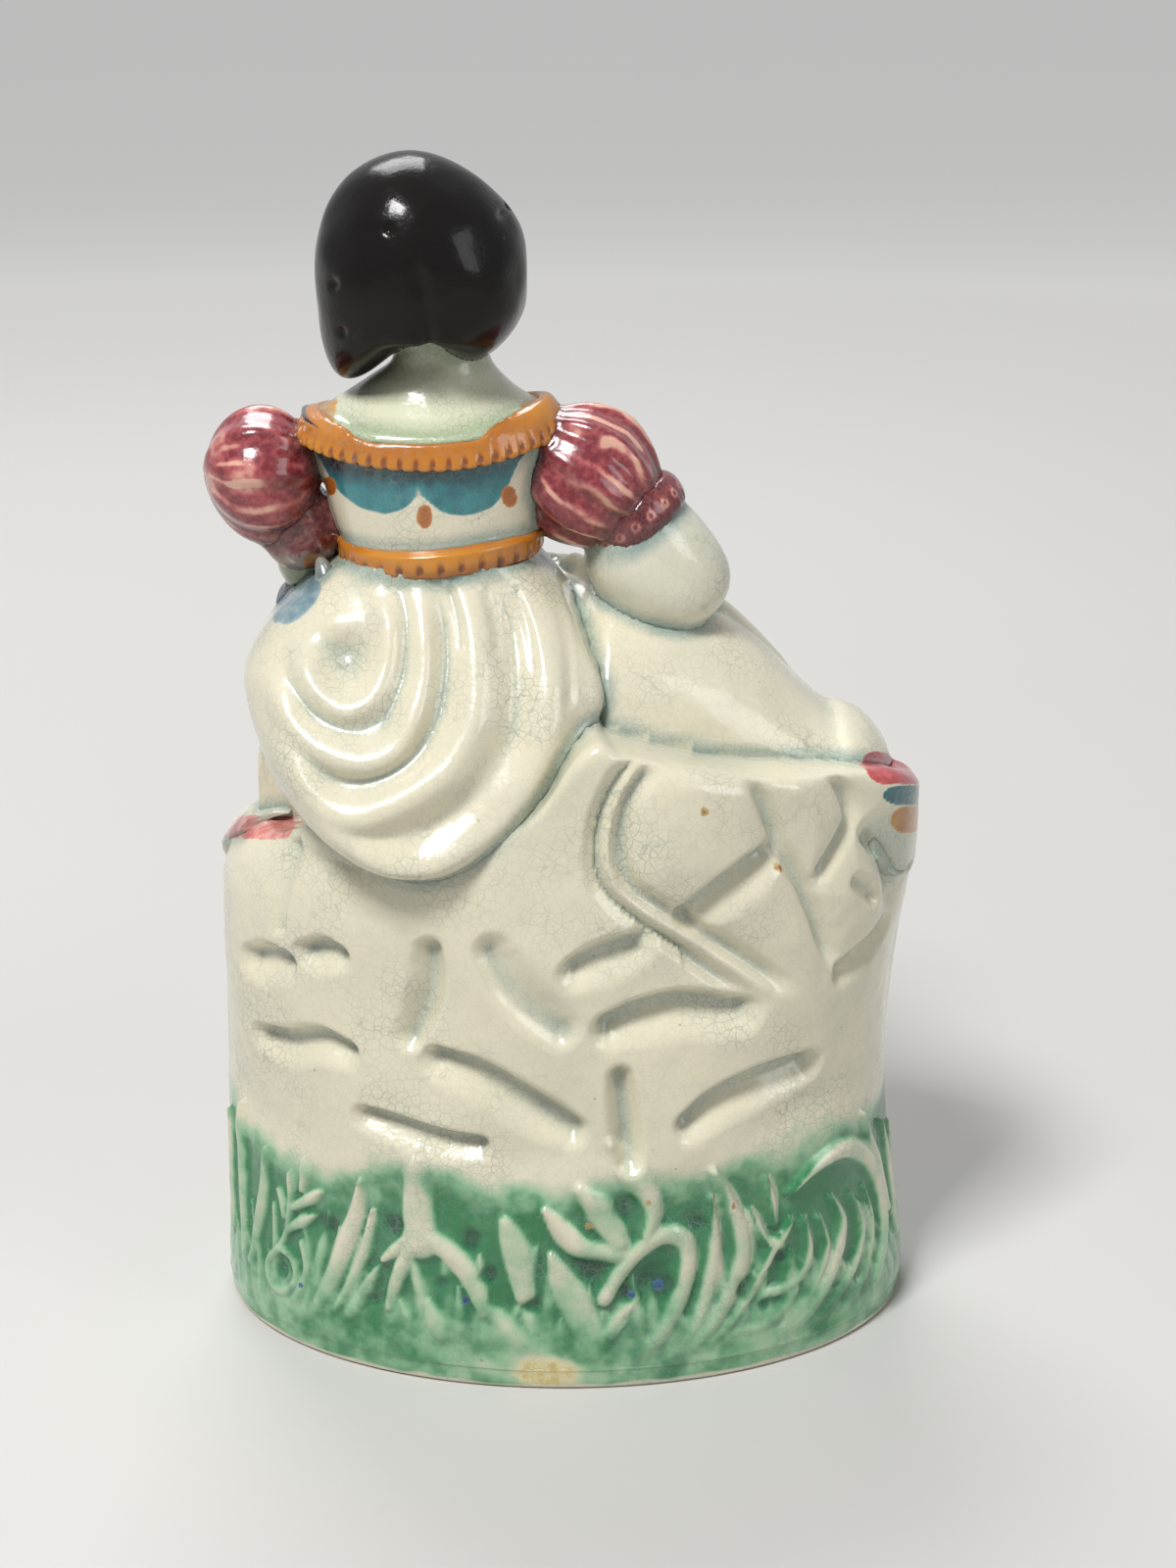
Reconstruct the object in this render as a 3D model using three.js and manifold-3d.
// A glazed pottery figure of a seated lady on a rocky mound, modelled as the press-moulded and hand-rolled
// clay sections that are luted together with slip before firing. Millimetres, +Z up. The lady faces -Y, and
// +X is her left. The origin is the centre of the underside.
import * as THREE from "three";
import { mergeVertices } from "three/addons/utils/BufferGeometryUtils.js";
import Module from "manifold-3d";

const wasm = await Module();
wasm.setup();

// Slip joints
const JOINT_GAP = 0.3; // left between neighbouring sections
const CLAY_WALL = 3.8; // wall of the pressed mound
const LEAST_TRIM = 0.01; // mm3; less than this is two faces that only touch

// Base and mound
const BASE_HALF_WIDTH = 39;
const BASE_HALF_DEPTH = 24.5;
const SLAB_THICKNESS = 2.5;
const VENT_RADIUS = 1.6;
const VENT_OFFSET_X = -14;
const SEAT_HEIGHT = 57; // top of the mound on her left side
const BACK_LEAN = 0.035; // inward lean of the rear wall, per mm of height
const FRONT_LEAN = 0.09;
const FOOT_LEDGE_HEIGHT = 12; // ledge of rock at the front, under her shoes
const FOOT_LEDGE_DEPTH = 2.6;
const LEFT_LEAN = 0.03;
const RIGHT_HOLLOW = 2.2; // how far the wall on her right draws in at half height
const BOULDER_RISE = 15; // boulder behind her hip, above the seat
const BOULDER_DEPTH = 12; // from the face of the boulder to under the gown

// Gown
const TORSO_X = 12.6; // her spine, left of the mound's centre
const WAIST_RISE = 30.5; // seat to waist
const SKIRT_LEFT_REACH = 20.4; // widest on each side, from her spine
const SKIRT_RIGHT_REACH = 16.8;
const SKIRT_BULGE = 22.6; // rear of the skirt, from the centre line
const SKIRT_INNER_Y = -2;
const SWAG_RIGHT_EDGE_Y = 12;
const SWAG_LEFT_EDGE_Y = 3;
const FOLD_RELIEF = 1.4; // crests of the looped folds above the valleys between them
const FOLD_HALF_WIDTH = 2.5;
const LAP_LEFT_REACH = 33; // ends of the lap, from the mound's centre line
const LAP_RIGHT_REACH = 36.5;
const LAP_RISE = 25.5;
const LAP_FRONT_Y = -17.5;
const LAP_BACK_Y = 15.1; // rear of her thigh, at the mound's centre line
const LAP_BACK_SLANT = 0.3; // it comes forward by this much per mm towards her knees
const THIGH_RELIEF = 2.6;
const THIGH_HALF_WIDTH = 6.5;
const HIP_HALF_WIDTH = 10;
const HIP_HALF_DEPTH = 9.4;
const HEM_SIDE_DROP = 4; // the hem at her sides, below the seat
const HEM_OVER_SHOES = 1.6; // the hem at the front, above the tops of her shoes
const DRAPE_THICKNESS = 1.8;
const SHIN_RELIEF = 1.9;
const SHIN_HALF_WIDTH = 6;
const DRAPE_SIDE_PROUD = 1.1; // at her sides, where the mound is widest
const DRAPE_ROLLOVER = 2.6; // how far its top edge leans back onto the lap
const DRAPE_FOLD_DEPTH = 1;
const DRAPE_FOLDS = 11;
const DRAPE_START_DEGREES = 152; // rear edge of the drape on her right
const DRAPE_END_DEGREES = 366; // rear edge of the drape on her left
const WAIST_BAND_HEIGHT = 3;
const WAIST_BAND_PROUD = 0.9;

// Bodice, shoulders and sleeves
const BODICE_RISE = 10.1; // waist to the collar's lower edge
const WAIST_HALF_WIDTH = 9.3;
const CHEST_HALF_WIDTH = 13;
const WAIST_BACK_Y = 10;
const WAIST_FRONT_Y = -7.2;
const CHEST_BACK_Y = 10.4;
const CHEST_FRONT_Y = -9.6;
const COLLAR_HEIGHT = 3.2;
const COLLAR_PROUD = 1;
const COLLAR_SLOPE = 0.5; // its upper edge lies in by this share of its height
const COLLAR_SHOULDER_RISE = 3; // the collar climbs this much from mid back to the shoulders
const COLLAR_LIFT = 0.7; // middle of the band above the top of the bodice
const NECK_RISE = 13.9; // collar to the top of the neck
const NECK_HALF_WIDTH = 4.8;
const SLEEVE_LENGTH = 7.2;
const LEFT_PUFF_SHARE = 0.82; // half width of the left puff, as a share of the sleeve's length
const LEFT_PUFF_OUT = 0.8; // further out from the bodice than the sleeve's length alone gives
const RIGHT_PUFF_IN = 0.3;
const SLEEVE_THICKNESS = 6.6;
const CUFF_RADIUS = 5.4;
const RIGHT_SLEEVE_TILT = 0.62; // radians, outer end downwards
const UPPER_ARM_RADIUS = 5.5;
const FOREARM_RADIUS = 3.4;
const RIGHT_ELBOW_REACH = 27.6; // from her spine
const RIGHT_ELBOW_DROP = 7.2; // below the waist
const LEFT_ELBOW_REACH = 14.4;
const LEFT_ELBOW_DROP = 2.2; // below the waist
const RIGHT_WRIST_REACH = 15;
const LEFT_WRIST_REACH = 4.5;
const WRIST_RISE = 24.5; // above the seat
const HAND_LENGTH = 8;

// Head and hair
const CROWN_RISE = 15.5; // top of the neck to the top of the hair
const HEAD_HALF_WIDTH = 8.3;
const HEAD_HALF_DEPTH = 8.8;
const HEAD_HALF_HEIGHT = 10.2;
const HEAD_FORWARD = 1.4;
const NOSE_LENGTH = 1.5;
const HAIR_HALF_WIDTH = 10.5;
const HAIR_HALF_DEPTH = 10.2;
const HAIR_HALF_HEIGHT = 10.9;
const HAIR_BACKWARD = 1.7;
const HAIR_THICKNESS = 1.2;
const HAIR_LEFT_TIP = 4.2; // the bob hangs lower on her left
const HAIR_RIGHT_TIP = 1.6;
const NAPE_NOTCH = 3;

// Shoes and shawl
const SHOE_LENGTH = 5.5; // of the part that shows
const SHOE_RADIUS = 3.2;
const RIGHT_SHOE_X = -14;
const LEFT_SHOE_X = -4;
const SHAWL_RADIUS = 3;
const SHAWL_RISE = 23; // above the seat, at her hip
const SHAWL_END_RISE = 17;
const SHAWL_REACH = 15.8; // its end at her hip, from her spine

// Levels and places that follow from the sizes above
const moundFoot = SLAB_THICKNESS + JOINT_GAP;
const seatTop = SEAT_HEIGHT;
const waistZ = seatTop + WAIST_RISE;
const collarZ = waistZ + BODICE_RISE;
const neckTopZ = collarZ + NECK_RISE;
const crownZ = neckTopZ + CROWN_RISE;
const headZ = crownZ - HAIR_THICKNESS - HEAD_HALF_HEIGHT;
const headX = TORSO_X + 1.4;
const collarX = TORSO_X + 0.9;
const hemFrontDrop = seatTop - FOOT_LEDGE_HEIGHT - 2 * SHOE_RADIUS - HEM_OVER_SHOES;
const chestMidY = (CHEST_BACK_Y + CHEST_FRONT_Y) / 2;
const chestHalfDepth = (CHEST_BACK_Y - CHEST_FRONT_Y) / 2;
const waistMidY = (WAIST_BACK_Y + WAIST_FRONT_Y) / 2;
const waistHalfDepth = (WAIST_BACK_Y - WAIST_FRONT_Y) / 2;

// Small curve helpers
const { PI, abs, cos, exp, hypot, max, min, sin, sqrt, sign } = Math;
const mix = (a, b, t) => a + (b - a) * t;
const clamp = (t) => min(1, max(0, t));
const ease = (a, b, t) => {
  const s = clamp((t - a) / (b - a));
  return s * s * (3 - 2 * s);
};
const rounded = (s, power) => (1 - min(1, abs(s)) ** power) ** (1 / power);

// A smooth curve through [position, value] pairs, read at one position.
function along(points, at) {
  const last = points.length - 1;
  const t = min(max(at, points[0][0]), points[last][0]);
  let i = 0;
  while (i < last - 1 && t > points[i + 1][0]) i += 1;
  const [x0, y0] = points[i];
  const [x1, y1] = points[i + 1];
  const before = points[max(i - 1, 0)];
  const after = points[min(i + 2, last)];
  const slope0 = (y1 - before[1]) / (x1 - before[0]);
  const slope1 = (after[1] - y0) / (after[0] - x0);
  const span = x1 - x0;
  const s = (t - x0) / span;
  const bend = slope0 * span * s * (1 - s) ** 2 - slope1 * span * s * s * (1 - s);
  return y0 * (1 + 2 * s) * (1 - s) ** 2 + y1 * s * s * (3 - 2 * s) + bend;
}

// Closed geometry with shared vertices, each vertex moved by place(x, y, z), faces outwards.
function mapped(source, place) {
  source.deleteAttribute("normal");
  source.deleteAttribute("uv");
  const geometry = mergeVertices(source, 1e-5);
  const position = geometry.getAttribute("position");
  for (let i = 0; i < position.count; i += 1) {
    position.setXYZ(i, ...place(position.getX(i), position.getY(i), position.getZ(i)));
  }
  const corners = geometry.index.array;
  const open = []; // the triangles that merging hasn't closed up
  for (let i = 0; i < corners.length; i += 3) {
    const [a, b, c] = corners.slice(i, i + 3);
    if (a !== b && b !== c && c !== a) open.push(a, b, c);
  }
  geometry.setIndex(open);
  if (signedVolume(geometry) < 0) {
    const order = geometry.index.array;
    for (let i = 0; i < order.length; i += 3) {
      [order[i + 1], order[i + 2]] = [order[i + 2], order[i + 1]];
    }
  }
  return geometry;
}

function signedVolume(geometry) {
  const position = geometry.getAttribute("position");
  const order = geometry.index.array;
  const [a, b, c] = [new THREE.Vector3(), new THREE.Vector3(), new THREE.Vector3()];
  let six = 0;
  for (let i = 0; i < order.length; i += 3) {
    a.fromBufferAttribute(position, order[i]);
    b.fromBufferAttribute(position, order[i + 1]);
    c.fromBufferAttribute(position, order[i + 2]);
    six += a.dot(b.cross(c));
  }
  return six / 6;
}

// A sheet with thickness: u and v run over it from 0 to 1, w from its inner face (0) to its outer face (1).
// The inner face is hidden, so its vertices are drawn together on a coarser grid of its own.
function sheet([columns, rows], [innerColumns, innerRows], place) {
  const box = new THREE.BoxGeometry(1, 1, 1, columns, rows, 1);
  const position = box.getAttribute("position");
  const coarse = (value, steps) => Math.round((value + 0.5) * steps) / steps - 0.5;
  for (let i = 0; i < position.count; i += 1) {
    if (position.getZ(i) < 0) {
      position.setX(i, coarse(position.getX(i), innerColumns));
      position.setY(i, coarse(position.getY(i), innerRows));
    }
  }
  return mapped(box, (x, y, z) => place(x + 0.5, y + 0.5, z + 0.5));
}

// A ball whose unit directions are moved by place.
function ball(around, upward, place) {
  return mapped(new THREE.SphereGeometry(1, around, upward), (x, y, z) => place(x, -z, y));
}

// A column: place gets the unit circle's x and y (0, 0 at the middle of a cap) and the height from 0 to 1.
function column(around, upward, place) {
  const post = new THREE.CylinderGeometry(1, 1, 1, around, upward);
  return mapped(post, (x, y, z) => place(x, -z, y + 0.5));
}

// A closed ring: place gets the angle round the ring and the angle round its section.
function ring(around, section, place) {
  const torus = new THREE.TorusGeometry(2, 1, section, around);
  return mapped(torus, (x, y, z) => {
    const turn = Math.atan2(y, x);
    return place(turn, Math.atan2(z, hypot(x, y) - 2));
  });
}

const halfway = (a, b, share = 0.5) => a.map((value, i) => mix(value, b[i], share));

// A rounded limb along a curve through points, with a radius at each point, flattened by squash.
function limb(points, radii, around, steps, squash = 1) {
  const curve = new THREE.CatmullRomCurve3(points.map((p) => new THREE.Vector3(...p)));
  const knots = radii.map((radius, i) => [i / (radii.length - 1), radius]);
  return ball(around, steps, (x, y, z) => {
    const s = (z + 1) / 2;
    const middle = curve.getPoint(s);
    const forward = curve.getTangent(s);
    const side = new THREE.Vector3(0, 0, 1).cross(forward).normalize();
    const above = forward.clone().cross(side);
    const turn = Math.atan2(y, x);
    const radius = along(knots, s) * rounded(2 * s - 1, 3);
    middle.addScaledVector(side, radius * cos(turn));
    middle.addScaledVector(above, radius * squash * sin(turn));
    return middle.toArray();
  });
}

// Solids, and the clearance that a neighbour leaves round one
function solidOf(geometry) {
  return new wasm.Manifold(
    new wasm.Mesh({
      numProp: 3,
      vertProperties: new Float32Array(geometry.getAttribute("position").array),
      triVerts: new Uint32Array(geometry.index.array),
    }),
  );
}

// The same surface moved outwards, so that each face keeps at least this distance from where it was.
function swollen(geometry, distance) {
  const position = geometry.getAttribute("position");
  const order = geometry.index.array;
  const corner = (i) => new THREE.Vector3().fromBufferAttribute(position, i);
  const touching = Array.from({ length: position.count }, () => []);
  for (let i = 0; i < order.length; i += 3) {
    const triangle = [order[i], order[i + 1], order[i + 2]];
    const points = triangle.map(corner);
    const edge = points[1].clone().sub(points[0]);
    const facing = edge.cross(points[2].clone().sub(points[0]));
    if (facing.length() > 1e-6) {
      facing.normalize();
      triangle.forEach((vertex, k) => {
        const to = points[(k + 1) % 3].clone().sub(points[k]);
        const from = points[(k + 2) % 3].clone().sub(points[k]);
        touching[vertex].push({ facing, weight: to.angleTo(from) });
      });
    }
  }
  const moved = geometry.clone();
  const target = moved.getAttribute("position");
  touching.forEach((faces, vertex) => {
    const outward = new THREE.Vector3();
    for (const face of faces) outward.addScaledVector(face.facing, face.weight);
    outward.normalize();
    const least = faces.reduce((lowest, face) => min(lowest, outward.dot(face.facing)), 1);
    const point = corner(vertex).addScaledVector(outward, distance / max(least, 0.4));
    target.setXYZ(vertex, point.x, point.y, point.z);
  });
  return moved;
}

const figure = new THREE.Group();
const placed = [];

// The section itself, without the crumbs that a trim can leave along its edge
const mainBody = (solid) => solid.decompose().reduce((a, b) => (b.volume() > a.volume() ? b : a));

// Adds a section, trimmed to leave the joint gap where earlier sections already are.
function addSection(name, geometry, colour, roughness = 0.25) {
  let solid = solidOf(geometry);
  const clearance = solidOf(swollen(geometry, JOINT_GAP));
  for (const earlier of placed) {
    if (solid.intersect(earlier).volume() > LEAST_TRIM) solid = solid.subtract(earlier);
  }
  placed.push(clearance);
  const cut = mainBody(solid).getMesh();
  const shape = new THREE.BufferGeometry();
  shape.setAttribute("position", new THREE.BufferAttribute(cut.vertProperties.slice(), 3));
  shape.setIndex(new THREE.BufferAttribute(cut.triVerts.slice(), 1));
  shape.computeVertexNormals();
  const material = new THREE.MeshStandardMaterial({ color: colour, roughness, metalness: 0 });
  const mesh = new THREE.Mesh(shape, material);
  mesh.name = name;
  figure.add(mesh);
}

// Glaze and enamel colours
const CREAM = 0xdad8c4;
const GREEN = 0x3f8f5f;
const OCHRE = 0xc88214;
const BURGUNDY = 0x82232d;
const FLESH = 0xd9cfae;
const HAIR_BLACK = 0x141212;
const SHAWL_BLUE = 0x78919a;
const SHOE_BLACK = 0x1c1a1a;

// The mound: an oval wall that leans in as it rises

// Plan point of the wall's face at an angle and height, moved inwards by depth.
function wallPoint(angle, z, depth) {
  const left = cos(angle) >= 0;
  const back = sin(angle) >= 0;
  const shoulder = 0.07 * max(0, z - seatTop + 7) ** 2;
  const leftWidth = BASE_HALF_WIDTH - LEFT_LEAN * z - min(shoulder, 4);
  const rightWidth = BASE_HALF_WIDTH - 0.02 * z - RIGHT_HOLLOW * sin(PI * min(1, z / seatTop)) ** 2;
  const halfWidth = left ? leftWidth : rightWidth;
  const overLedge = ease(FOOT_LEDGE_HEIGHT - 4, FOOT_LEDGE_HEIGHT + 1, z);
  const step = FOOT_LEDGE_DEPTH * overLedge * max(0, -sin(angle)) ** 3;
  const halfDepth = BASE_HALF_DEPTH - (back ? BACK_LEAN * z : FRONT_LEAN * z + step);
  return [(halfWidth - depth) * cos(angle), (halfDepth - depth) * sin(angle), z];
}

// The rock's details are laid out for a mound of this size, and stretch with it
const LAYOUT_HEIGHT = 57;
const LAYOUT_HALF_WIDTH = 39;
const toLayoutX = LAYOUT_HALF_WIDTH / BASE_HALF_WIDTH;
const toLayoutZ = LAYOUT_HEIGHT / seatTop;

// Dents pressed into the rock with a tool: from, to, half width and depth, in the rear wall's x and z
const DENTS = [
  { from: [34, 45], to: [29, 46.5], wide: 2.6, deep: 1.3 },
  { from: [27, 48.5], to: [23.5, 49], wide: 2.2, deep: 1.1 },
  { from: [33.5, 35.5], to: [22, 39], wide: 2, deep: 1.2 },
  { from: [13.7, 50.5], to: [16.5, 41], wide: 2, deep: 1.1 },
  { from: [8.3, 50], to: [-1, 41.5], wide: 3.4, deep: 0.9 },
  { from: [0.5, 48.4], to: [-8, 51.3], wide: 2, deep: 1.1 },
  { from: [-4, 41.8], to: [-20, 42.3], wide: 2.7, deep: 1.3 },
  { from: [14, 38], to: [-1.5, 31.3], wide: 2.9, deep: 1.4 },
  { from: [-6.3, 37.5], to: [-7.4, 28], wide: 2, deep: 1.3 },
  { from: [-27.5, 33.2], to: [-13, 30], wide: 2.5, deep: 1.3 },
  { from: [21.5, 29.6], to: [8.3, 28.7], wide: 1.7, deep: 1.1 },
  { from: [-22, 59.5], to: [-13.2, 54.5], wide: 2, deep: 1.2 },
];

// Incised outlines of the boulder and of the smaller stones beside it
const INCISIONS = [
  [[-7.5, 70], [-6.3, 61], [-9, 56.8], [-26, 43.6]],
  [[-4, 66], [-3.4, 59], [-5.2, 55.4], [-22.8, 42]],
  [[-19, 68.5], [-25.4, 57], [-29, 46]],
  [[-28.3, 66], [-30.8, 61], [-27, 55.7]],
  [[-32.4, 58.3], [-35.8, 51]],
];
const ROCK_UNEVENNESS = 0.9;
const INCISION_HALF_WIDTH = 1.3;
const INCISION_DEPTH = 0.7;

function distanceToSegment(x, z, from, to) {
  const [dx, dz] = [to[0] - from[0], to[1] - from[1]];
  const t = clamp(((x - from[0]) * dx + (z - from[1]) * dz) / (dx * dx + dz * dz));
  return hypot(x - from[0] - t * dx, z - from[1] - t * dz);
}

function distanceToLine(x, z, line) {
  return min(...line.slice(1).map((to, i) => distanceToSegment(x, z, line[i], to)));
}

function rockRelief(x, z) {
  const [across, up] = [x * toLayoutX, z * toLayoutZ];
  let depth = 0;
  for (const dent of DENTS) {
    const away = distanceToSegment(across, up, dent.from, dent.to) / dent.wide;
    if (away < 1) depth = max(depth, dent.deep * (1 - away * away) ** 2);
  }
  for (const line of INCISIONS) {
    const away = distanceToLine(across, up, line) / INCISION_HALF_WIDTH;
    if (away < 1) depth = max(depth, INCISION_DEPTH * (1 - away * away));
  }
  return depth;
}

// Grass and leaves moulded on the foot of the mound: the line from tip to root, and the half width
const LEAVES = [
  { line: [[35.9, 26.2], [35.6, 8]], wide: 1.6 },
  { line: [[32.6, 22.9], [34.8, 7.5]], wide: 1.6 },
  { line: [[28.4, 22], [30.4, 14], [31.2, 6]], wide: 1.7 },
  { line: [[21.5, 22.9], [23.6, 14.2], [27, 5]], wide: 1.8 },
  { line: [[15.5, 26.9], [15.3, 16.6]], wide: 2 },
  { line: [[18.7, 8.2], [16, 16.4]], wide: 1.6 },
  { line: [[8.4, 9.2], [10.9, 14.6], [14.9, 17.6]], wide: 1.7 },
  { line: [[6, 19.9], [4, 11.2]], wide: 1.9 },
  { line: [[7.8, 9.4], [1.4, 3.4]], wide: 1.9 },
  { line: [[-5.2, 29.2], [-9.2, 22.8], [-9, 18]], wide: 1.8 },
  { line: [[1.9, 21.6], [-1.5, 17.4], [-5.9, 16.2]], wide: 1.8 },
  { line: [[-1.9, 23.9], [-6.1, 17.4]], wide: 1.9 },
  { line: [[-4.3, 10.9], [-8.8, 17.1], [-12.6, 17.2], [-12, 9.7], [-8, 3.3]], wide: 1.6 },
  { line: [[1.3, 16.2], [-4.2, 3.8]], wide: 2.2 },
  { line: [[-16.2, 21.9], [-15.8, 11.6], [-11, 2.8]], wide: 1.6 },
  { line: [[-16.6, 25], [-19.4, 16], [-17.7, 9.9], [-12.6, 3]], wide: 1.7 },
  { line: [[-22.6, 22.8], [-23.3, 17.2]], wide: 1.5 },
  { line: [[-26.8, 16.5], [-26.6, 11], [-21.9, 8.9]], wide: 1.5 },
  { line: [[-30.1, 17.9], [-30.8, 13], [-24.6, 4]], wide: 1.6 },
  { line: [[-25.2, 20.4], [-30.4, 22.9], [-35.4, 18.2], [-36.2, 10.9], [-34.6, 5.6]], wide: 1.7 },
  { line: [[-34.4, 26], [-37, 12]], wide: 1.6 },
];
const LEAF_RELIEF = 0.95;
const GRASS_TOP = 24;

function grassRelief(x, z) {
  let height = 0;
  for (const leaf of LEAVES) {
    const away = distanceToLine(x * toLayoutX, z * toLayoutZ, leaf.line) / leaf.wide;
    if (away < 1) height = max(height, LEAF_RELIEF * (1 - away * away));
  }
  return height * ease(SLAB_THICKNESS, SLAB_THICKNESS + 2, z);
}

// Height of the mound's rim above the seat, behind her: low under the skirt, high behind her hip
const rimPoints = [
  [-LAYOUT_HALF_WIDTH, 5],
  [-35, 8.2],
  [-20, 10.5],
  [-6, BOULDER_RISE - 1],
  [-3.8, BOULDER_RISE],
  [-1.2, 12.5],
  [1.5, 8],
  [5.2, 4.2],
  [10, 1],
  [14, 0],
  [19, 0.8],
  [23, 2.8],
  [26.5, 4],
  [30, 2],
  [33, 0],
  [LAYOUT_HALF_WIDTH, -1],
];
const foldedRock = (x, z) => (ROCK_UNEVENNESS * (sin(0.21 * x + 0.8) * sin(0.17 * z + 0.4) - 1)) / 2;
const RIM_ROUND = 0.9;
const ROWS_TOWARDS_FOOT = 1.3; // above 1 the mesh is finer in the grass than in the rock

function moundBack() {
  return sheet([92, 24], [16, 6], (u, v, w) => {
    const angle = PI * u;
    const top = seatTop + along(rimPoints, wallPoint(angle, seatTop, 0)[0] * toLayoutX);
    const z = mix(moundFoot, top, v ** ROWS_TOWARDS_FOOT);
    const x = wallPoint(angle, z, 0)[0];
    const behindHip = ease(3, -5, x);
    const ledge = (BOULDER_DEPTH - CLAY_WALL) * ease(-9, 1, z - seatTop) * behindHip;
    const verge = LEAF_RELIEF * 0.9 * ease(GRASS_TOP + 6, GRASS_TOP, z * toLayoutZ);
    const folded = foldedRock(x, z) * ease(GRASS_TOP - 4, GRASS_TOP + 6, z * toLayoutZ);
    const relief = grassRelief(x, z) - verge - rockRelief(x, z) + folded;
    const depth = w === 1 ? -relief * ease(0, 0.06, u) * ease(1, 0.94, u) : CLAY_WALL + ledge;
    const point = wallPoint(angle, z, depth);
    const cornering = w === 1 ? RIM_ROUND * ease(top - 2, top, z) * behindHip : 0;
    return [point[0], max(JOINT_GAP / 2, point[1] - cornering), z];
  });
}

// The front pressing stops under the gown, lowest in the middle
const FRONT_RIM_SIDE_DROP = 2;
const FRONT_RIM_DROP = 12;
const FRONT_WAVE = 0.7;
const FRONT_LEAF_RELIEF = 1.3;
const FRONT_LEAVES = 13;

function moundFront() {
  return sheet([56, 14], [14, 3], (u, v, w) => {
    const angle = PI * (1 + u);
    const inside = sin(PI * clamp(u));
    const top = seatTop - mix(FRONT_RIM_SIDE_DROP, FRONT_RIM_DROP, sqrt(inside));
    const z = mix(moundFoot, top, v);
    const wave = FRONT_WAVE * min(0, sin(9 * angle) * sin(0.3 * z) * inside - 1);
    const leaf = (FRONT_LEAF_RELIEF / 2) * (sin(2 * FRONT_LEAVES * angle) - 1) * inside;
    const relief = wave + leaf * ease(GRASS_TOP - 4, GRASS_TOP / 3, z * toLayoutZ);
    const point = wallPoint(angle, z, w === 1 ? -relief : CLAY_WALL);
    return [point[0], min(-JOINT_GAP / 2, point[1]), z];
  });
}

function baseSlab() {
  const outline = new THREE.Shape();
  outline.absellipse(0, 0, BASE_HALF_WIDTH, BASE_HALF_DEPTH, 0, 2 * PI);
  const vent = new THREE.Path();
  vent.absarc(VENT_OFFSET_X, 0, VENT_RADIUS, 0, 2 * PI, true);
  outline.holes.push(vent);
  const slab = new THREE.ExtrudeGeometry(outline, {
    depth: SLAB_THICKNESS,
    bevelEnabled: false,
    curveSegments: 30,
  });
  return mapped(slab, (x, y, z) => [x, y, z]);
}

// The gown behind: a swag of cloth from the waist to a rolled lower rim on the rock. Each outline is a list
// of pairs, the share of the height from the seat to the waist and the share of the full reach there.
const skirtLeft = [
  [0, 0.07],
  [0.02, 0.3],
  [0.1, 0.58],
  [0.23, 0.81],
  [0.43, 0.95],
  [0.62, 1],
  [0.75, 0.9],
  [0.89, 0.7],
  [1, (HIP_HALF_WIDTH - JOINT_GAP) / SKIRT_LEFT_REACH],
];
const skirtRight = [
  [0, -0.03],
  [0.03, 0.17],
  [0.13, 0.45],
  [0.26, 0.68],
  [0.41, 0.86],
  [0.57, 1],
  [0.75, 0.87],
  [0.89, 0.74],
  [1, (HIP_HALF_WIDTH - JOINT_GAP) / SKIRT_RIGHT_REACH],
];
const skirtDepth = [
  [0, 0.73],
  [0.03, 0.9],
  [0.08, 1],
  [0.2, 0.98],
  [0.36, 0.87],
  [0.52, 0.68],
  [0.66, 0.49],
  [0.82, 0.24],
  [1, JOINT_GAP / (SKIRT_BULGE - WAIST_BACK_Y)],
];

// Crests of the looped folds: x from her spine and height above the seat, for a skirt of the layout's size
const SWAG_LAYOUT_REACH = 20.4;
const SWAG_LAYOUT_RISE = 30.5;
const FOLDS = [
  [[4.4, 27.8], [4.7, 23.8], [5.7, 20.7], [8, 18.4], [9.8, 17.8], [12, 19.2], [13.5, 22]],
  [[2.3, 26.5], [1.9, 21.7], [2.3, 17.5], [5.6, 13.3], [8.4, 13.1], [11.9, 14.2], [14.3, 16.7], [15.3, 20.7]],
  [[0.4, 27.4], [-1.5, 19], [-0.3, 13.3], [3.2, 10.5], [7.5, 8.1], [10.7, 8.7], [15, 14.2], [16.3, 18.4]],
  [[-5.6, 28], [-9.4, 23.1], [-10.6, 17.5], [-9.7, 12.3], [-5, 6.5], [-0.9, 4.4], [3.9, 2.7], [11.5, 7.1]],
];

function skirtFolds(x, rise) {
  const across = ((x - TORSO_X) * SWAG_LAYOUT_REACH) / SKIRT_LEFT_REACH;
  const up = (rise * SWAG_LAYOUT_RISE) / WAIST_RISE;
  const away = min(1, ...FOLDS.map((fold) => distanceToLine(across, up, fold) / FOLD_HALF_WIDTH));
  return FOLD_RELIEF * ((1 - away * away) ** 2 - 0.5);
}

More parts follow.
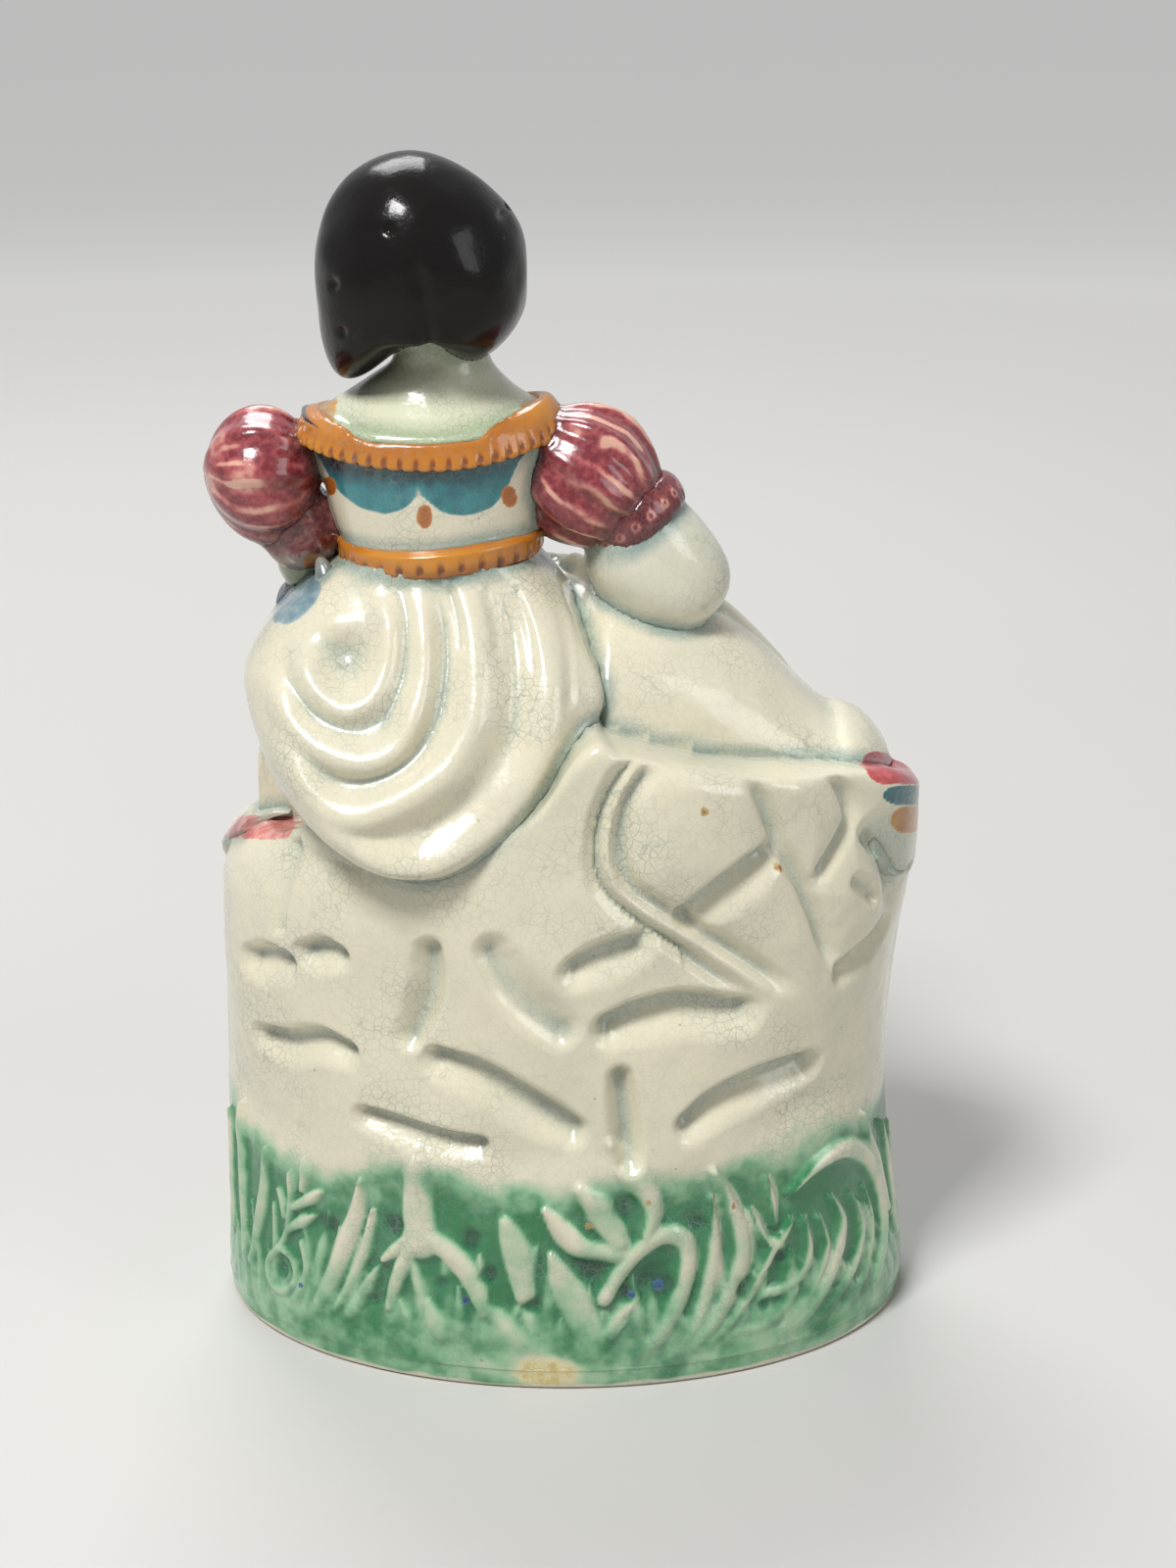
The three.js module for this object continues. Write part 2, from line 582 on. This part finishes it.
function skirtBack() {
  return sheet([36, 26], [10, 6], (u, v, w) => {
    const share = 1 - cos((PI / 2) * v);
    const rise = WAIST_RISE * share;
    const left = TORSO_X + SKIRT_LEFT_REACH * along(skirtLeft, share);
    const right = TORSO_X - SKIRT_RIGHT_REACH * along(skirtRight, share);
    const across = 2 * u - 1;
    const bow = sin((PI / 2) * across);
    const x = mix(right, left, 0.5 + 0.5 * bow);
    const free = ease(0, 0.1, share) * ease(1, 0.85, share) * (1 - across ** 6);
    const back = mix(WAIST_BACK_Y, SKIRT_BULGE, along(skirtDepth, share)) + skirtFolds(x, rise) * free;
    const edge = mix(SWAG_RIGHT_EDGE_Y * ease(1, 0.6, share), SWAG_LEFT_EDGE_Y, u);
    const y = w === 1 ? mix(edge, back, rounded(bow, 3)) : SKIRT_INNER_Y;
    return [x, y, seatTop + JOINT_GAP + rise * (1 - JOINT_GAP / WAIST_RISE)];
  });
}

// The gown over her lap, with the thighs swept to her right. The ridge is a list of pairs, the share of the
// reach on that side of the centre line and the share of the lap's full rise.
const lapRidge = [
  [-1, 0.1],
  [-0.95, 0.29],
  [-0.85, 0.47],
  [-0.78, 0.455],
  [-0.72, 0.52],
  [-0.556, 0.753],
  [-0.438, 0.882],
  [-0.22, 0.98],
  [0, 1],
  [0.606, 0.902],
  [0.848, 0.784],
  [0.955, 0.627],
  [1, 0.314],
];
const LAP_CREST = 0.55; // share of the way from the front of the lap to its back
const LAP_END_ROUND = 0.75;

// Lines of her thighs in plan, seen as ridges in the gown
const THIGHS = [
  { hip: [TORSO_X + 1.4, -4], knee: [TORSO_X - 14.6, LAP_FRONT_Y + 0.5] },
  { hip: [TORSO_X - 10.6, -2], knee: [TORSO_X - 33.6, LAP_FRONT_Y + 3.5] },
];

function lap() {
  const middle = (LAP_LEFT_REACH - LAP_RIGHT_REACH) / 2;
  const reach = (LAP_LEFT_REACH + LAP_RIGHT_REACH) / 2;
  const skirtEdge = TORSO_X - SKIRT_RIGHT_REACH;
  return sheet([32, 14], [10, 4], (u, v, w) => {
    const x = middle - reach * cos(PI * u);
    const fromEnd = x + LAP_RIGHT_REACH;
    const end = rounded((x - middle) / (reach + LAP_END_ROUND), 4);
    const back = mix(2, LAP_BACK_Y + LAP_BACK_SLANT * x, ease(-3.5, 6.5, fromEnd)) * ease(-0.5, 2.5, fromEnd);
    const yBack = mix(max(2, back), SKIRT_INNER_Y + 3, ease(skirtEdge - 0.8, skirtEdge + 5.2, x));
    const y = mix(LAP_FRONT_Y * end, yBack * mix(end, 1, 0.4), v);
    const ridge = LAP_RISE * along(lapRidge, x / (x < 0 ? LAP_RIGHT_REACH : LAP_LEFT_REACH));
    const behind = v > LAP_CREST;
    const slope = behind ? (v - LAP_CREST) / (1 - LAP_CREST) : (LAP_CREST - v) / LAP_CREST;
    const hill = behind ? sqrt(max(0, 1 - slope ** 2)) : 1 - slope ** 2.4;
    const edge = behind ? 0.62 * min(ridge, LAP_RISE / 2) : min(0.45 * ridge, LAP_RISE / 4);
    const thighs = THIGHS.map((thigh) => distanceToSegment(x, y, thigh.hip, thigh.knee) / THIGH_HALF_WIDTH);
    const knees = THIGH_RELIEF * max(0, 1 - min(...thighs) ** 2) * ease(0, 0.12, v) * ease(0.62, 0.45, v);
    const hip = hypot((x - TORSO_X) / HIP_HALF_WIDTH, (y - waistMidY) / HIP_HALF_DEPTH);
    const top = mix(mix(edge, ridge, hill) + knees, WAIST_RISE, ease(1.7, 1, hip));
    return [x, y, seatTop + (w === 1 ? max(JOINT_GAP + 1.2, top) : JOINT_GAP)];
  });
}

// The gown in front: falls from the knees over the rock to its hem
const hemDrop = [
  [DRAPE_START_DEGREES, HEM_SIDE_DROP - 3],
  [158, HEM_SIDE_DROP - 0.4],
  [168, HEM_SIDE_DROP + 0.4],
  [182, HEM_SIDE_DROP + 2],
  [205, HEM_SIDE_DROP + 12],
  [232, hemFrontDrop - 3],
  [262, hemFrontDrop],
  [295, hemFrontDrop - 6],
  [330, HEM_SIDE_DROP + 13],
  [350, HEM_SIDE_DROP + 2],
  [DRAPE_END_DEGREES, HEM_SIDE_DROP - 3],
];
const drapeTop = [
  [DRAPE_START_DEGREES, 4.8],
  [160, 5.8],
  [168, 6],
  [200, 5],
  [230, 6.5],
  [300, 6.5],
  [350, 3],
  [DRAPE_END_DEGREES, 1.2],
];

// Share of the full relief of her shins under the cloth, from the knees down to the shoes
const kneeLevel = seatTop + 5;
const hemFrontZ = seatTop - hemFrontDrop;
const SHINS = [
  { knee: [TORSO_X - 15.6, kneeLevel], foot: [LEFT_SHOE_X, hemFrontZ] },
  { knee: [TORSO_X - 33.6, kneeLevel], foot: [RIGHT_SHOE_X, hemFrontZ] },
];
function shinRelief(x, z) {
  const away = SHINS.map((shin) => distanceToSegment(x, z, shin.knee, shin.foot) / SHIN_HALF_WIDTH);
  return max(0, 1 - min(...away) ** 2);
}

function drape() {
  return sheet([48, 10], [24, 3], (u, v, w) => {
    const degrees = mix(DRAPE_START_DEGREES, DRAPE_END_DEGREES, u);
    const angle = (degrees * PI) / 180;
    const low = seatTop - along(hemDrop, degrees);
    const high = seatTop + along(drapeTop, degrees);
    const z = mix(low, high, v);
    const front = max(0, -sin(angle));
    const legs = shinRelief(wallPoint(angle, z, 0)[0], z) * front * ease(1, 0.7, v);
    const wave = sin(DRAPE_FOLDS * 2 * PI * u + 1.2 * sin(3 * v)) * ease(1.1, 0.3, v);
    const folds = DRAPE_FOLD_DEPTH * wave * sqrt(front) * (1 - 0.7 * legs);
    const rollover = -DRAPE_ROLLOVER * ease(0.62, 1.05, v) ** 2;
    const ends = ease(0, 0.05, u) * ease(1, 0.95, u);
    const room = mix(DRAPE_SIDE_PROUD, DRAPE_THICKNESS, front) + SHIN_RELIEF * legs;
    const proud = mix(DRAPE_SIDE_PROUD * 0.6, room + folds, ends) + rollover;
    return wallPoint(angle, z, w === 1 ? -proud : DRAPE_THICKNESS * 0.5 - rollover * 0.9);
  });
}

// The bodice, the bare shoulders and the neck
function torsoSection(level, t, cx, cy) {
  const back = mix(WAIST_BACK_Y, CHEST_BACK_Y, t);
  const front = mix(WAIST_FRONT_Y, CHEST_FRONT_Y, ease(0, 0.7, t));
  const halfWidth = mix(WAIST_HALF_WIDTH, CHEST_HALF_WIDTH, t ** 1.6);
  const x = mix(TORSO_X, collarX, t) + halfWidth * cx;
  const y = (back + front) / 2 + ((back - front) / 2) * cy;
  return [x, y, level];
}

function bodice() {
  const low = waistZ + JOINT_GAP;
  return column(24, 4, (cx, cy, t) => {
    const sides = COLLAR_SHOULDER_RISE * cx * cx * t;
    return torsoSection(mix(low, collarZ, t) + sides, t, cx, cy);
  });
}

const NECK_STARTS = 0.7; // share of the height where the shoulders' slope ends at the neck

function shoulders() {
  const neckX = headX - 1.6;
  return column(24, 6, (cx, cy, t) => {
    const low = collarZ + JOINT_GAP * 1.4;
    const sides = COLLAR_SHOULDER_RISE * cx * cx * (1 - t) ** 3;
    const narrow = min(1, t / NECK_STARTS) ** 1.15;
    const halfWidth = mix(CHEST_HALF_WIDTH - 0.2, NECK_HALF_WIDTH, narrow);
    const halfDepth = mix(chestHalfDepth - 0.3, NECK_HALF_WIDTH * 0.95, narrow ** 0.8);
    const centreY = mix(chestMidY, 1.2 - HEAD_FORWARD / 2, t);
    const x = mix(collarX, neckX, ease(0, 0.7, t)) + halfWidth * cx;
    return [x, centreY + halfDepth * cy, mix(low, neckTopZ - 2, t) + sides];
  });
}

// Bands that run round the body: the pleated collar and the waist band
function collar() {
  return ring(40, 5, (turn, section) => {
    const frill = 1 + 0.2 * sin(24 * turn);
    const up = (COLLAR_HEIGHT / 2) * sin(section);
    const out = (COLLAR_PROUD * frill + 0.8) * cos(section) - COLLAR_SLOPE * up;
    const x = collarX + (CHEST_HALF_WIDTH - 0.4 + out) * cos(turn);
    const y = chestMidY + (chestHalfDepth - 0.4 + out) * sin(turn);
    const climb = COLLAR_SHOULDER_RISE * cos(turn) ** 2;
    return [x, y, collarZ + climb + up + COLLAR_LIFT];
  });
}

function waistBand() {
  return ring(32, 6, (turn, section) => {
    const out = (WAIST_BAND_PROUD + 0.9) * cos(section);
    const x = TORSO_X + (WAIST_HALF_WIDTH - 0.4 + out) * cos(turn);
    const y = waistMidY + (waistHalfDepth - 0.4 + out) * sin(turn);
    return [x, y, waistZ + JOINT_GAP / 2 + (WAIST_BAND_HEIGHT / 2) * sin(section)];
  });
}

// Puffed sleeves and the arms
const shoulderZ = collarZ + COLLAR_SHOULDER_RISE;
const sleeveOut = CHEST_HALF_WIDTH + SLEEVE_LENGTH / 2;
const leftX = collarX + sleeveOut + LEFT_PUFF_OUT;
const rightX = collarX - sleeveOut + RIGHT_PUFF_IN;
const leftShoulder = [leftX, chestMidY + 0.6, shoulderZ - 0.85 * SLEEVE_THICKNESS];
const rightShoulder = [rightX, chestMidY + 0.8, shoulderZ - 0.95 * SLEEVE_THICKNESS];
const leftElbow = [TORSO_X + LEFT_ELBOW_REACH, -1, waistZ - LEFT_ELBOW_DROP];
const rightElbow = [TORSO_X - RIGHT_ELBOW_REACH, -0.5, waistZ - RIGHT_ELBOW_DROP];

function leftSleeve() {
  return ball(16, 11, (x, y, z) => {
    const gathers = 1 + 0.035 * sin(9 * Math.atan2(z, y));
    const drop = ease(-0.1, -1, z) * 0.8;
    return [
      leftShoulder[0] + SLEEVE_LENGTH * LEFT_PUFF_SHARE * x * gathers - drop * 0.9,
      leftShoulder[1] + SLEEVE_THICKNESS * 0.95 * y * gathers,
      leftShoulder[2] + SLEEVE_THICKNESS * z * gathers - drop,
    ];
  });
}

function rightSleeve() {
  const [across, down] = [cos(RIGHT_SLEEVE_TILT), sin(RIGHT_SLEEVE_TILT)];
  return ball(16, 11, (x, y, z) => {
    const gathers = 1 + 0.04 * sin(9 * Math.atan2(z, y));
    const dx = SLEEVE_LENGTH * 1.12 * x;
    const dz = SLEEVE_THICKNESS * 1.1 * z * gathers * (1 - 0.18 * max(0, -x));
    return [
      rightShoulder[0] + dx * across - dz * down,
      rightShoulder[1] + SLEEVE_THICKNESS * y * gathers,
      rightShoulder[2] + dx * down + dz * across,
    ];
  });
}

const rightWrist = [TORSO_X - RIGHT_WRIST_REACH, LAP_FRONT_Y + 5.5, seatTop + WRIST_RISE];
const leftWrist = [TORSO_X + LEFT_WRIST_REACH, LAP_FRONT_Y + 3.5, seatTop + WRIST_RISE + 0.5];

function rightUpperArm() {
  const start = [rightShoulder[0] - 2.4, rightShoulder[1] - 0.4, rightShoulder[2] - 2.6];
  const middle = halfway(start, rightElbow, 0.52);
  const radii = [UPPER_ARM_RADIUS, UPPER_ARM_RADIUS, UPPER_ARM_RADIUS * 0.88];
  return limb([start, [middle[0] - 0.6, start[1], middle[2] + 0.6], rightElbow], radii, 14, 10);
}

const FOREARM_RADII = [FOREARM_RADIUS * 1.3, FOREARM_RADIUS * 1.05, FOREARM_RADIUS * 0.7];

function rightForearm() {
  const start = [rightElbow[0] + 0.8, rightElbow[1] - 1.5, rightElbow[2] - 0.4];
  const middle = halfway(start, rightWrist);
  return limb([start, [middle[0] - 1, middle[1], middle[2]], rightWrist], FOREARM_RADII, 11, 8);
}

function leftForearm() {
  const middle = halfway(leftElbow, leftWrist);
  return limb([leftElbow, [middle[0] + 2.6, middle[1], middle[2]], leftWrist], FOREARM_RADII, 11, 8);
}

function leftSleeveTail() {
  const start = [leftShoulder[0] - 1.6, leftShoulder[1], leftShoulder[2] - 3];
  const middle = halfway(start, leftElbow);
  const radii = [CUFF_RADIUS * 0.8, CUFF_RADIUS * 0.75, CUFF_RADIUS * 0.62];
  return limb([start, [middle[0] + 1, start[1], middle[2]], leftElbow], radii, 12, 8);
}

const HAND_RADII = [2, 2.6, 1.6];

function hand(wrist, towards) {
  const tip = [wrist[0] + towards[0] * HAND_LENGTH, wrist[1] + towards[1] * HAND_LENGTH, wrist[2] - 1];
  return limb([wrist, halfway(wrist, tip), tip], HAND_RADII, 10, 7, 0.6);
}

const CUFF_PLUMP = 1.1; // half of the cuff's thickness
const CUFF_HALF_LENGTH = 1.6;

function rightCuff() {
  const centre = new THREE.Vector3(rightShoulder[0] - 4.6, rightShoulder[1], rightShoulder[2] - 3.8);
  const elbow = new THREE.Vector3(rightElbow[0], centre.y, rightElbow[2]);
  const axis = elbow.sub(centre).normalize();
  const side = new THREE.Vector3(0, 1, 0);
  const above = axis.clone().cross(side);
  return ring(22, 6, (turn, section) => {
    const radius = CUFF_RADIUS - 0.2 + CUFF_PLUMP * cos(section);
    const point = centre.clone().addScaledVector(axis, CUFF_HALF_LENGTH * sin(section));
    point.addScaledVector(side, radius * cos(turn)).addScaledVector(above, radius * sin(turn));
    return point.toArray();
  });
}

// The head and its hair
function head() {
  return ball(22, 18, (x, y, z) => {
    const chin = 1 - 0.3 * ease(0.1, -1, z);
    const nose = NOSE_LENGTH * exp(-((x / 0.13) ** 2) - ((z + 0.08) / 0.2) ** 2) * (y < 0 ? 1 : 0);
    const brow = 0.35 * exp(-(((z - 0.2) / 0.16) ** 2)) * (y < 0 ? 1 : 0);
    return [
      headX + HEAD_HALF_WIDTH * x * chin,
      -HEAD_FORWARD + HEAD_HALF_DEPTH * y * mix(1, chin, 0.6) - nose - brow,
      headZ + HEAD_HALF_HEIGHT * z,
    ];
  });
}

function hair() {
  return ball(22, 16, (x, y, z) => {
    const bob = ease(0.1, -0.9, z);
    const tip = (HAIR_LEFT_TIP * ease(0.2, 0.95, x) + HAIR_RIGHT_TIP * ease(-0.2, -0.9, x)) * bob;
    const nape = NAPE_NOTCH * exp(-((x / 0.3) ** 2)) * ease(-0.5, -0.95, z);
    const full = 1 + 0.07 * bob;
    const square = (value, limit) => sign(value) * abs(value) ** limit;
    return [
      headX + HAIR_HALF_WIDTH * square(x, 0.86) * full,
      HAIR_BACKWARD + HAIR_HALF_DEPTH * y,
      crownZ - HAIR_HALF_HEIGHT + HAIR_HALF_HEIGHT * square(z, z < 0 ? 0.8 : 0.92) - tip + nape,
    ];
  });
}

// Shoes under the hem and a shawl across her lap
function shoe(x, turn) {
  const level = FOOT_LEDGE_HEIGHT + SHOE_RADIUS + 0.8;
  const face = wallPoint(1.5 * PI, level, 0)[1];
  const heel = [x, face + 1.8, level + 0.6];
  const reach = [SHOE_LENGTH * sin(turn), -SHOE_LENGTH * cos(turn)];
  const toe = [x + reach[0], heel[1] + reach[1], level - 0.9];
  const middle = halfway(heel, toe);
  const radii = [SHOE_RADIUS, SHOE_RADIUS * 1.05, SHOE_RADIUS * 0.7];
  return limb([heel, [middle[0], middle[1], level + 0.2], toe], radii, 12, 8, 0.8);
}

function shawl() {
  const start = [TORSO_X + SHAWL_REACH, 1, seatTop + SHAWL_RISE];
  const middle = [TORSO_X + 9.5, waistMidY - HIP_HALF_DEPTH - 3.5, seatTop + SHAWL_RISE + 0.6];
  const end = [TORSO_X - 6, LAP_FRONT_Y + 3, seatTop + SHAWL_END_RISE];
  return limb([start, middle, end], [SHAWL_RADIUS, SHAWL_RADIUS * 1.15, SHAWL_RADIUS], 12, 12, 0.6);
}

addSection("base_slab", baseSlab(), CREAM, 0.5);
addSection("gown_front_drape", drape(), CREAM);
addSection("gown_back_swag", skirtBack(), CREAM);
addSection("gown_lap", lap(), CREAM);
addSection("rock_mound_back", moundBack(), GREEN);
addSection("rock_mound_front", moundFront(), GREEN);
addSection("bodice", bodice(), CREAM);
addSection("shoulders_and_neck", shoulders(), FLESH);
addSection("waist_band", waistBand(), OCHRE);
addSection("collar_frill", collar(), OCHRE);
addSection("head", head(), FLESH);
addSection("hair", hair(), HAIR_BLACK);
addSection("left_sleeve", leftSleeve(), BURGUNDY);
addSection("right_sleeve", rightSleeve(), BURGUNDY);
addSection("right_sleeve_cuff", rightCuff(), BURGUNDY);
addSection("right_upper_arm", rightUpperArm(), FLESH);
addSection("left_sleeve_tail", leftSleeveTail(), BURGUNDY);
addSection("shawl", shawl(), SHAWL_BLUE);
addSection("right_forearm", rightForearm(), FLESH);
addSection("left_forearm", leftForearm(), FLESH);
addSection("right_hand", hand(rightWrist, [0.9, -0.3]), FLESH);
addSection("left_hand", hand(leftWrist, [-0.9, -0.1]), FLESH);
addSection("right_shoe", shoe(RIGHT_SHOE_X, -0.25), SHOE_BLACK);
addSection("left_shoe", shoe(LEFT_SHOE_X, 0.1), SHOE_BLACK);

export default figure;
